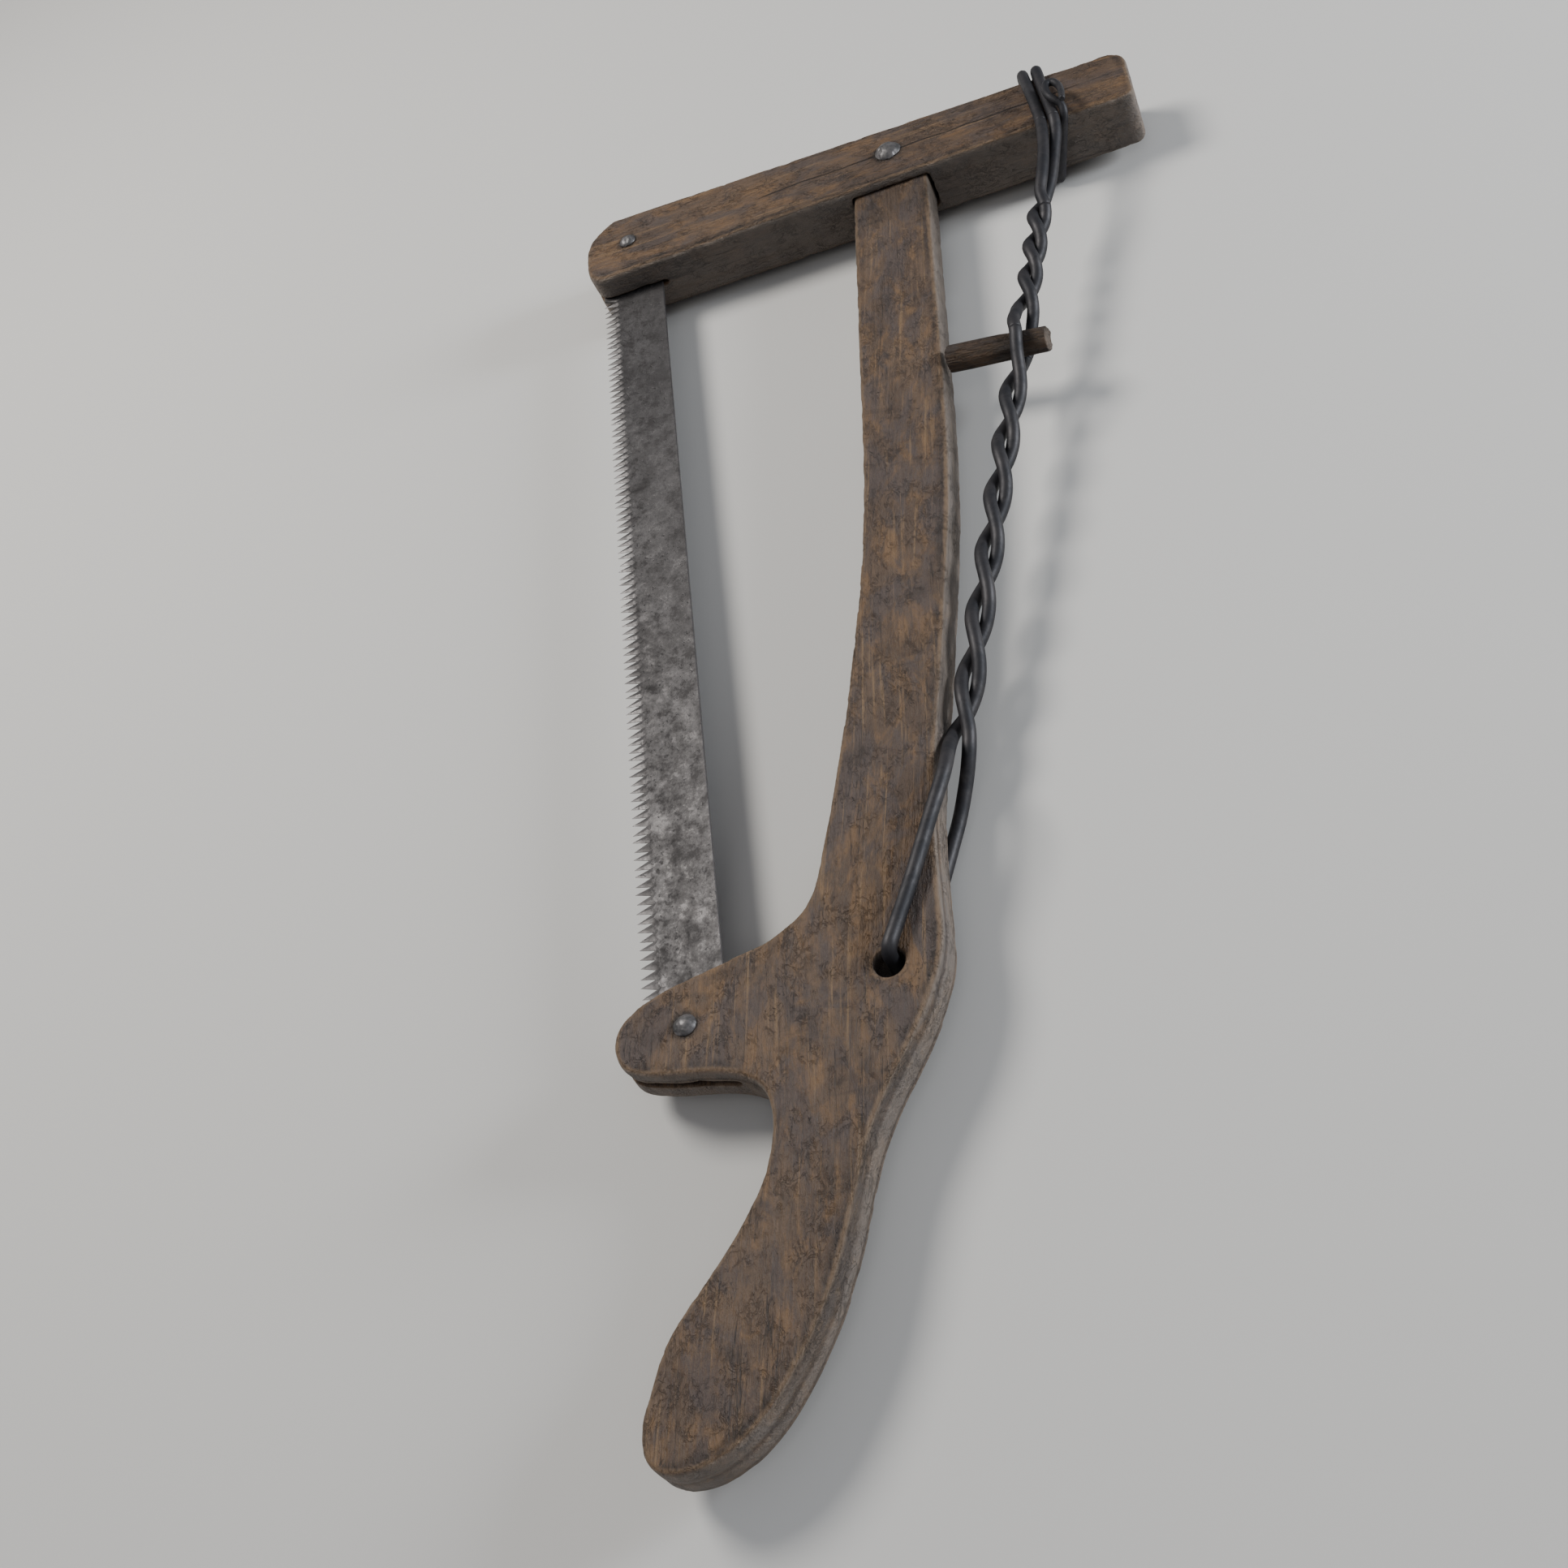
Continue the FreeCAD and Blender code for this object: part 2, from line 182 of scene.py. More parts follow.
def smooth(mesh):
    mesh.polygons.foreach_set("use_smooth", np.ones(len(mesh.polygons), bool))
    mesh.update()


def dense_copy(node, name, voxel, ease=3):
    """A new object with a CAD node's shape in small even faces."""
    obj = bpy.data.objects.new(name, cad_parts[node].data.copy())
    bpy.context.scene.collection.objects.link(obj)
    even = obj.modifiers.new("even", "REMESH")
    even.mode = "VOXEL"
    even.voxel_size = voxel
    soft = obj.modifiers.new("soft", "SMOOTH")
    soft.factor = 0.5
    soft.iterations = ease
    bpy.context.view_layer.update()
    made = obj.evaluated_get(bpy.context.evaluated_depsgraph_get())
    mesh = bpy.data.meshes.new_from_object(made)
    obj.modifiers.clear()
    obj.data = mesh
    mesh.materials.clear()
    for layer in [a.name for a in mesh.attributes if not a.is_required and not a.is_internal]:
        mesh.attributes.remove(mesh.attributes[layer])
    mesh.name = name
    return obj


def set_back(obj, node, depth):
    """Moves each point in from the surface by depth (mm), and keeps it in the node's own box."""
    mesh = obj.data
    low, high = (np.array(v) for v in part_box(node))
    moved = co_of(mesh) - normals_of(mesh) * depth[:, None] * MM
    mesh.vertices.foreach_set("co", np.clip(moved, low, high).ravel())
    mesh.update()


def new_object(name, verts, faces):
    mesh = bpy.data.meshes.new(name)
    mesh.from_pydata([tuple(v) for v in verts], [], faces)
    mesh.update()
    obj = bpy.data.objects.new(name, mesh)
    bpy.context.scene.collection.objects.link(obj)
    return obj


# ---- materials ----


class Shade:
    """Short calls for a node tree with one principled shader."""

    def __init__(self, name):
        self.material = bpy.data.materials.new(name)
        self.material.use_nodes = True
        self.tree = self.material.node_tree
        self.shader = self.tree.nodes["Principled BSDF"]

    def node(self, kind, **settings):
        made = self.tree.nodes.new(kind)
        for key, value in settings.items():
            setattr(made, key, value)
        return made

    def put(self, socket, value):
        if isinstance(value, bpy.types.NodeSocket):
            self.tree.links.new(value, socket)
        else:
            socket.default_value = value

    def layer(self, name, output):
        return self.node("ShaderNodeAttribute", attribute_name=name).outputs[output]

    def scaled(self, vector, scale, turn=(0, 0, 0), move=(0, 0, 0)):
        made = self.node("ShaderNodeMapping")
        self.put(made.inputs["Vector"], vector)
        made.inputs["Scale"].default_value = scale
        made.inputs["Rotation"].default_value = turn
        made.inputs["Location"].default_value = move
        return made.outputs[0]

    def noise(self, vector, detail=3.0, rough=0.55, warp=0.0):
        made = self.node("ShaderNodeTexNoise")
        self.put(made.inputs["Vector"], vector)
        made.inputs["Scale"].default_value = 1.0
        made.inputs["Detail"].default_value = detail
        made.inputs["Roughness"].default_value = rough
        made.inputs["Distortion"].default_value = warp
        return made.outputs["Fac"]

    def math(self, operation, a, b=0.0, clamp=False):
        made = self.node("ShaderNodeMath", operation=operation, use_clamp=clamp)
        self.put(made.inputs[0], a)
        self.put(made.inputs[1], b)
        return made.outputs[0]

    def span(self, value, low, high, to_low=0.0, to_high=1.0):
        made = self.node("ShaderNodeMapRange", interpolation_type="SMOOTHSTEP")
        self.put(made.inputs["Value"], value)
        made.inputs["From Min"].default_value = low
        made.inputs["From Max"].default_value = high
        made.inputs["To Min"].default_value = to_low
        made.inputs["To Max"].default_value = to_high
        return made.outputs[0]

    def mix(self, share, a, b, blend="MIX"):
        made = self.node("ShaderNodeMix", data_type="RGBA", blend_type=blend)
        self.put(made.inputs["Factor"], share)
        for socket, value in ((made.inputs["A"], a), (made.inputs["B"], b)):
            for s in made.inputs:
                if s.type == "RGBA" and s.name == socket.name:
                    self.put(s, value)
        return made.outputs[2]

    def bump(self, height, distance, strength=1.0, under=None):
        made = self.node("ShaderNodeBump")
        made.inputs["Strength"].default_value = strength
        made.inputs["Distance"].default_value = distance
        self.put(made.inputs["Height"], height)
        if under is not None:
            self.put(made.inputs["Normal"], under)
        return made.outputs[0]


def rgb(r, g, b):
    """A display colour, 0 to 255, as linear light."""
    def one(v):
        v = v / 255.0
        return v / 12.92 if v <= 0.04045 else ((v + 0.055) / 1.055) ** 2.4
    return (one(r), one(g), one(b), 1.0)


def wood_material(name, tint, move=(0, 0, 0), long_crack=None):
    """Weathered brown wood over the layers "grain" (mm across, along, deep), "side", "band", "rim", "hollow", "stain".
    long_crack is a place across the grain and the two ends along it."""
    # Besides the wood's own colour, the side layer paints light, the edge layer a highlight over wear, and the band,
    # groove and darkest layers paint shade
    s = Shade(name)
    grain = s.layer("grain", "Vector")
    side = s.layer("side", "Fac")
    rough_shaded_band = s.layer("rough_shaded_band", "Fac")
    rim = s.layer("rim", "Fac")
    hollow_shade = s.layer("hollow_shade", "Fac")
    stain_and_shade = s.layer("stain_and_shade", "Fac")
    clouds = s.noise(s.scaled(grain, (0.050, 0.022, 0.05), move=move), 4, 0.6, 0.4)
    orange = s.noise(s.scaled(grain, (0.115, 0.040, 0.10), move=(7 + move[0], 3, 1)), 6, 0.66, 0.9)
    grey = s.noise(s.scaled(grain, (0.085, 0.038, 0.07), move=(31 + move[0], 11, 5)), 6, 0.68, 0.6)
    smudge = s.noise(s.scaled(grain, (0.040, 0.080, 0.05), move=(3, 17 + move[1], 2)), 6, 0.70, 0.5)
    fibre = s.noise(s.scaled(grain, (0.95, 0.055, 0.7)), 5, 0.62, 0.35)
    fine = s.noise(s.scaled(grain, (3.2, 0.20, 2.4)), 3, 0.6, 0.1)
    speck = s.noise(s.scaled(grain, (0.55, 0.32, 0.5), move=(9, 1, 4)), 4, 0.7)
    light_lines = s.noise(s.scaled(grain, (0.62, 0.016, 0.5), move=(2, 8, 6)), 3, 0.6, 0.25)
    cross = s.scaled(grain, (0.30, 0.11, 0.2), turn=(0, 0, 0.85), move=(2, 2, 2))
    cracks = s.math("ABSOLUTE", s.math("SUBTRACT", s.noise(cross, 4, 0.6, 0.7), 0.5))
    crack_where = s.noise(s.scaled(grain, (0.09, 0.05, 0.09), move=(13, 1, 9)), 2, 0.5)
    crack = s.math("MULTIPLY", s.span(cracks, 0.0, 0.010, 1.0, 0.0), s.span(crack_where, 0.56, 0.64, 0.0, 0.7))
    checks = s.math("ABSOLUTE", s.math("SUBTRACT", s.noise(s.scaled(grain, (0.34, 0.010, 0.2)), 4, 0.6, 0.2), 0.5))
    check_where = s.noise(s.scaled(grain, (0.12, 0.020, 0.09), move=(4, 9, 2)), 2, 0.5)
    check = s.math("MULTIPLY", s.span(checks, 0.0, 0.007, 1.0, 0.0), s.span(check_where, 0.53, 0.62, 0.0, 0.8))
    line = s.math("MAXIMUM", crack, check)
    if long_crack:
        parts = s.node("ShaderNodeSeparateXYZ")
        s.put(parts.inputs[0], grain)
        sway = s.math("MULTIPLY", s.math("SUBTRACT", s.noise(s.scaled(grain, (0.02, 0.05, 0.02)), 3, 0.6), 0.5), 3.0)
        off = s.math("ABSOLUTE", s.math("ADD", s.math("SUBTRACT", parts.outputs[0], long_crack[0]), sway))
        from_end = s.span(parts.outputs[1], long_crack[1], long_crack[1] + 12)
        to_end = s.span(parts.outputs[1], long_crack[2] - 12, long_crack[2], 1.0, 0.0)
        split = s.math("MULTIPLY", s.span(off, 0.12, 0.55, 1.0, 0.0), s.math("MULTIPLY", from_end, to_end))
        line = s.math("MAXIMUM", line, split)

    scuffs = s.noise(s.scaled(grain, (0.75, 0.26, 0.6), turn=(0, 0, -0.75), move=(6, 3, 8)), 4, 0.62, 0.5)
    folds = s.noise(s.scaled(grain, (0.34, 0.20, 0.3), turn=(0, 0, 0.6), move=(1, 7, 3)), 5, 0.66, 0.8)
    fold_where = s.noise(s.scaled(grain, (0.13, 0.09, 0.1), move=(8, 2, 7)), 2, 0.5)
    creases = s.span(s.math("ABSOLUTE", s.math("SUBTRACT", folds, 0.5)), 0.0, 0.035, 1.0, 0.0)
    creases = s.math("MULTIPLY", creases, s.span(fold_where, 0.42, 0.60))

    colour = s.mix(s.span(clouds, 0.34, 0.66), rgb(96, 80, 67), rgb(118, 99, 81))
    colour = s.mix(s.span(orange, 0.46, 0.62, 0.0, 0.62), colour, rgb(148, 118, 82))
    colour = s.mix(s.span(grey, 0.46, 0.61, 0.0, 0.80), colour, rgb(92, 84, 84))
    colour = s.mix(s.span(smudge, 0.52, 0.68, 0.0, 0.55), colour, rgb(66, 55, 48))
    colour = s.mix(s.span(fibre, 0.30, 0.60, 0.42, 0.0), colour, rgb(58, 46, 38))
    colour = s.mix(s.span(light_lines, 0.57, 0.70, 0.0, 0.62), colour, rgb(156, 132, 100))
    colour = s.mix(s.span(fine, 0.55, 0.75, 0.0, 0.30), colour, rgb(152, 130, 104))
    colour = s.mix(s.span(speck, 0.56, 0.74, 0.0, 0.24), colour, rgb(52, 43, 37))
    # Painted shade: the dark band along the lower-right edges
    colour = s.mix(s.math("MULTIPLY", rough_shaded_band, s.span(speck, 0.30, 0.62, 0.30, 0.85)), colour, rgb(50, 40, 34))
    # Lighter edges: wear with a painted highlight
    worn_edge_highlight = s.math("MULTIPLY", s.span(rim, 0.3, 1.6, 1.0, 0.0), s.span(grey, 0.40, 0.60, 0.25, 0.65))
    colour = s.mix(worn_edge_highlight, colour, rgb(152, 130, 103))
    # Painted shade in the grooves
    colour = s.mix(s.span(hollow_shade, 0.25, 1.0, 0.0, 0.55), colour, rgb(46, 37, 31))
    # Painted shade along the creases
    colour = s.mix(s.math("MULTIPLY", creases, 0.12), colour, rgb(50, 41, 36))
    colour = s.mix(s.math("MULTIPLY", line, 0.80), colour, rgb(24, 18, 15))
    colour = s.mix(1.0, colour, (*tint, 1), "MULTIPLY")
    # Painted light: the side faces lighter and greyer, less so in the grooves
    painted_side_light = s.math("MULTIPLY", side, s.span(hollow_shade, 0.1, 0.9, 0.58, 0.15))
    colour = s.mix(painted_side_light, colour, rgb(134, 125, 117))
    # Darkest layer: painted shade on and below the arm's underside and in the wire's hole, with stain and painted
    # shade round the pins
    colour = s.mix(stain_and_shade, colour, rgb(20, 16, 14))
    s.put(s.shader.inputs["Base Color"], colour)
    polish = s.math("ADD", fibre, s.math("MULTIPLY", grey, 0.5))
    s.put(s.shader.inputs["Roughness"], s.span(polish, 0.45, 1.1, 0.50, 0.74))
    s.shader.inputs["Specular IOR Level"].default_value = 0.45
    relief = s.math("ADD", s.math("MULTIPLY", fibre, 0.9), s.math("MULTIPLY", fine, 0.30))
    relief = s.math("ADD", relief, s.math("MULTIPLY", speck, 0.55))
    relief = s.math("SUBTRACT", relief, s.math("MULTIPLY", line, 1.3))
    relief = s.math("ADD", relief, s.math("MULTIPLY", scuffs, 1.3))
    relief = s.math("SUBTRACT", relief, s.math("MULTIPLY", creases, 0.40))
    s.put(s.shader.inputs["Normal"], s.bump(relief, 0.00075, 0.95))
    return s.material


def blade_material():
    s = Shade("blade_steel")
    place = s.scaled(s.layer("place", "Vector"), (1, 1, 1))
    clouds = s.noise(s.scaled(place, (0.055, 0.030, 0.05)), 8, 0.72, 0.2)
    mottle = s.noise(s.scaled(place, (0.15, 0.12, 0.1), move=(5, 2, 0)), 10, 0.80, 0.1)
    fine = s.noise(s.scaled(place, (0.9, 0.7, 0.5)), 5, 0.70)
    pits = s.noise(s.scaled(place, (0.55, 0.5, 0.5), move=(9, 9, 9)), 3, 0.5)
    bands = s.noise(s.scaled(place, (0.045, 0.15, 0.1), move=(3, 7, 1)), 9, 0.78, 0.1)
    drawn = s.noise(s.scaled(place, (2.6, 0.05, 1.0)), 3, 0.6)
    bare = s.layer("bare", "Fac")
    colour = s.mix(s.span(clouds, 0.36, 0.64), rgb(62, 60, 60), rgb(92, 90, 90))
    colour = s.mix(s.span(mottle, 0.49, 0.60, 0.0, 0.85), colour, rgb(38, 35, 35))
    colour = s.mix(s.span(mottle, 0.38, 0.47, 0.60, 0.0), colour, rgb(122, 119, 118))
    colour = s.mix(s.span(bands, 0.54, 0.64, 0.0, 0.65), colour, rgb(36, 33, 33))
    colour = s.mix(s.span(fine, 0.52, 0.66, 0.0, 0.55), colour, rgb(36, 33, 33))
    colour = s.mix(s.span(pits, 0.68, 0.74, 0.0, 0.70), colour, rgb(30, 26, 25))
    colour = s.mix(bare, colour, rgb(118, 115, 114))
    colour = s.mix(1.0, colour, (0.74, 0.74, 0.75, 1), "MULTIPLY")
    s.put(s.shader.inputs["Base Color"], colour)
    s.shader.inputs["Metallic"].default_value = 0.75
    rough = s.math("ADD", s.span(mottle, 0.34, 0.64, 0.44, 0.64), s.math("MULTIPLY", bare, -0.12))
    s.put(s.shader.inputs["Roughness"], rough)
    relief = s.math("ADD", s.math("MULTIPLY", mottle, 0.7), s.math("MULTIPLY", fine, 0.30))
    relief = s.math("ADD", relief, s.math("MULTIPLY", drawn, 0.10))
    relief = s.math("SUBTRACT", relief, s.span(pits, 0.64, 0.72, 0.0, 0.7))
    s.put(s.shader.inputs["Normal"], s.bump(relief, 0.00026, 0.6))
    return s.material


def iron_material(name, dark, light, layer, size, rough_low, rough_high):
    """Dark worn iron: two tones in patches and small pits. size is patches per mm."""
    s = Shade(name)
    place = s.layer(layer, "Vector")
    patches = s.noise(s.scaled(place, (size, size, size)), 5, 0.62, 0.5)
    fine = s.noise(s.scaled(place, (size * 5, size * 5, size * 5), move=(4, 4, 4)), 3, 0.6)
    colour = s.mix(s.span(patches, 0.36, 0.66), dark, light)
    colour = s.mix(s.span(fine, 0.56, 0.74, 0.0, 0.45), colour, (0.008, 0.007, 0.007, 1))
    s.put(s.shader.inputs["Base Color"], colour)
    s.shader.inputs["Metallic"].default_value = 0.5
    s.put(s.shader.inputs["Roughness"], s.span(patches, 0.3, 0.7, rough_high, rough_low))
    relief = s.math("ADD", s.math("MULTIPLY", patches, 0.8), s.math("MULTIPLY", fine, 0.3))
    s.put(s.shader.inputs["Normal"], s.bump(relief, 0.00022, 0.7))
    return s.material


# ---- wood ----

PINS = [((142.5, 377.5), 6.0), ((18.6, 391.0), 4.1), ((17.8, -30.0), 4.1)]
HOLE = (85.3, -29.6)


def near(points, chosen):
    """The chosen point nearest to every point, and how far it is."""
    tree = KDTree(int(chosen.sum()))
    for i in np.flatnonzero(chosen):
        tree.insert(points[i], int(i))
    tree.balance()
    found = [tree.find(p) for p in points]
    return np.array([f[0] for f in found]), np.array([f[2] for f in found])


def wood_layers(obj, node, lean, seed, groove_depth, chips):
    """Wear and grain for a plank whose grain leans from +Y (or +X) and lies in the plane of its faces."""
    # Besides wear and grain this makes painted shade: a dark band on the lower-right edges, dark grooves and dark
    # rings at the pins
    mesh = obj.data
    p = co_of(mesh) / MM + DATUM
    n = normals_of(mesh)
    along_way = np.array([math.sin(lean), math.cos(lean), 0.0])
    across_way = np.array([math.cos(lean), -math.sin(lean), 0.0])
    along = p @ along_way
    across = p @ across_way
    deep = p[:, 2]
    across = across + 5.0 * (noise(np.stack([across / 30, along / 70, deep / 40], 1), seed) - 0.5)
    on_edge = (np.abs(n[:, 2]) > 0.45) & (np.abs(n[:, 2]) < 0.88)
    edge_at, rim = near(p, on_edge)
    rim = np.minimum(rim, 15.0)
    side = step(0.8, 0.4, np.abs(n[:, 2]))
    # Edges on the lower right, the side turned away from the light
    low_right = (edge_at - p) @ np.array([0.75, -0.66, 0.0]) > 0

    swell = fractal(np.stack([across / 15, along / 38, deep / 14], 1), 3, seed + 3)
    fibre = fractal(np.stack([across / 2.4, along / 26, deep / 2.4], 1), 2, seed + 9)
    rows = fractal(np.stack([deep / 3.0, along / 140, across / 90], 1), 1, seed + 15)
    dents = noise(np.stack([across / 5.0, along / 8.0, deep / 6.0], 1), seed + 21)
    nicks = fractal(p / 6.5, 2, seed + 27)
    facets = noise(np.stack([across / 22, along / 34, deep / 30], 1), seed + 33)
    ragged = step(0.42, 0.66, fractal(np.stack([across / 9, along / 12, deep / 9], 1), 2, seed + 39))
    # A rough dark band along those edges: painted shade, with nicks cut into it
    rough_shaded_band = step(4.2, 1.6, rim + 2.2 * (nicks - 0.5)) * (1 - side) * low_right * (0.35 + 0.65 * ragged)
    edge = np.exp(-((rim / 1.8) ** 2))
    depth = 0.26 * step(0.40, 0.72, swell) * (1 - 0.8 * edge) * (1 - 0.5 * side)
    depth += 0.12 * step(0.45, 0.72, fibre) * (1 - side)
    depth += groove_depth * step(0.50, 0.80, rows) * side
    depth += 0.16 * step(0.74, 0.92, dents)
    depth += 0.26 * rough_shaded_band * step(0.35, 0.70, nicks)
    depth += chips * edge * step(0.52, 0.76, nicks)
    depth += 0.10 * edge * step(0.45, 0.60, facets)

    # Dark rings round the pins: stain, with painted shade in the recess at each head
    stain_and_shade = np.zeros(len(p))
    for (x, y), radius in PINS:
        away = np.hypot(p[:, 0] - x, p[:, 1] - y) - radius
        stain_and_shade = np.maximum(stain_and_shade, 0.60 * step(1.9, 0.0, away))
    set_back(obj, node, depth)
    vector_layer(mesh, "grain", np.stack([across, along, deep], 1))
    float_layer(mesh, "side", side)
    float_layer(mesh, "rough_shaded_band", rough_shaded_band)
    float_layer(mesh, "rim", rim)
    # Painted shade in the deep grooves of the side faces
    float_layer(mesh, "hollow_shade", 0.75 * step(0.50, 0.80, rows) * side * (groove_depth > 0.3))
    return p, stain_and_shade, across, along


def stock_piece():
    obj = dense_copy("stock", "stock_plank", 0.7 * MM)
    p, stain_and_shade, _, _ = wood_layers(obj, "stock", 0.139, 11, 0.38, 0.26)
    # A dark ring in and around the wire's hole: painted shade in the hole, with stain
    away = np.hypot(p[:, 0] - HOLE[0], p[:, 1] - HOLE[1]) - 4.85
    stain_and_shade = np.maximum(stain_and_shade, 0.8 * step(1.2, -0.6, away))
    # Painted shade on the stock just below the arm, darker towards it
    shade_under_arm = 0.30 * step(338.0, 358.0, p[:, 1] + 0.0884 * p[:, 0])
    float_layer(obj.data, "stain_and_shade", np.maximum(stain_and_shade, shade_under_arm))
    smooth(obj.data)
    obj.data.materials.append(wood_material("stock_wood", (0.69, 0.63, 0.585)))
    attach(obj, "stock")
    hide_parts("stock")


def arm_piece():
    obj = dense_copy("arm", "arm_bar", 0.7 * MM)
    p, stain_and_shade, across, along = wood_layers(obj, "arm", math.pi / 2 + 0.105, 47, 0.30, 0.34)
    pin = np.argmin(np.linalg.norm(p - np.array([142.5, 377.5, 12.75]), axis=1))
    crack = (float(across[pin]), float(along[pin]) - 62, float(along[pin]) + 92)
    # Painted shade on the arm's underside, darker the more a face points down
    under = step(0.5, 0.9, -normals_of(obj.data)[:, 1])
    float_layer(obj.data, "stain_and_shade", np.maximum(stain_and_shade, 0.45 * under))
    smooth(obj.data)
    obj.data.materials.append(wood_material("arm_wood", (0.66, 0.58, 0.505), (17, 40, 3), crack))
    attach(obj, "arm")
    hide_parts("arm")


EYE = np.array([173.685, 227.39, 7.068])
TWIST_DOWN = np.array([-0.29773937, -0.95378195, -0.04063635])
PEG_TIP = np.array([145.75, 236.2, 5.4])


def peg_piece():
    """A split peg: long flat facets, deep grain lines and darker wood where the wire bears on it."""
    obj = dense_copy("toggle_peg", "toggle_peg_split", 0.35 * MM, 2)
    mesh = obj.data
    p = co_of(mesh) / MM + DATUM
    n = normals_of(mesh)
    way = (EYE - PEG_TIP) / np.linalg.norm(EYE - PEG_TIP)
    side = np.cross(way, [0, 0, 1])
    side /= np.linalg.norm(side)
    rise = np.cross(side, way)
    along = (p - PEG_TIP) @ way
    u = (p - PEG_TIP) @ side
    v = (p - PEG_TIP) @ rise
    angle = np.arctan2(v, u)
    round_about = np.stack([np.cos(angle) * 1.5, np.sin(angle) * 1.5, along / 16], 1)
    lines = np.stack([np.cos(angle) * 5, np.sin(angle) * 5, along / 24], 1)
    depth = 0.45 * step(0.40, 0.75, fractal(round_about + 20, 2, 5))
    depth += 0.35 * step(0.50, 0.72, fractal(lines + 9, 2, 8))
    ends = np.minimum(along, 41.0 - along)
    depth += 0.35 * step(2.0, 0.0, ends) * step(0.35, 0.65, fractal(p / 3.0, 2, 15))
    set_back(obj, "toggle_peg", depth)
    cut = np.abs(n @ way) > 0.75
    vector_layer(mesh, "grain", np.stack([u * 1.4, along, v * 1.4], 1))
    # The cut ends get the painted side light and the lighter edge with its painted highlight
    float_layer(mesh, "side", 0.5 * cut)
    float_layer(mesh, "rough_shaded_band", np.zeros(len(p)))
    float_layer(mesh, "rim", np.where(cut, 0.9, 9.0))
    # Painted shade where the surface is set back
    float_layer(mesh, "hollow_shade", step(0.35, 0.9, depth))
    float_layer(mesh, "stain_and_shade", 0.40 * step(12.0, 5.0, np.abs(along - 29.3)) * (1 - cut))
    smooth(mesh)
    mesh.materials.append(wood_material("peg_wood", (0.36, 0.32, 0.29), (55, 8, 13)))
    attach(obj, "toggle")
    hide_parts("toggle_peg")


# ---- blade ----

PITCH = 3.8
TEETH = 102
TEETH_FROM = -19.0
GULLET = 6.2
HALF = 0.6


def ring(x, y, radius, count=20, stretch=0.0):
    """A hole's outline, longer upwards by stretch."""
    out = []
    for i in range(count):
        a = 2 * math.pi * (i + 0.5) / count
        out.append((x + radius * math.cos(a), y + radius * math.sin(a) + (stretch if math.sin(a) > 0 else 0)))
    return out


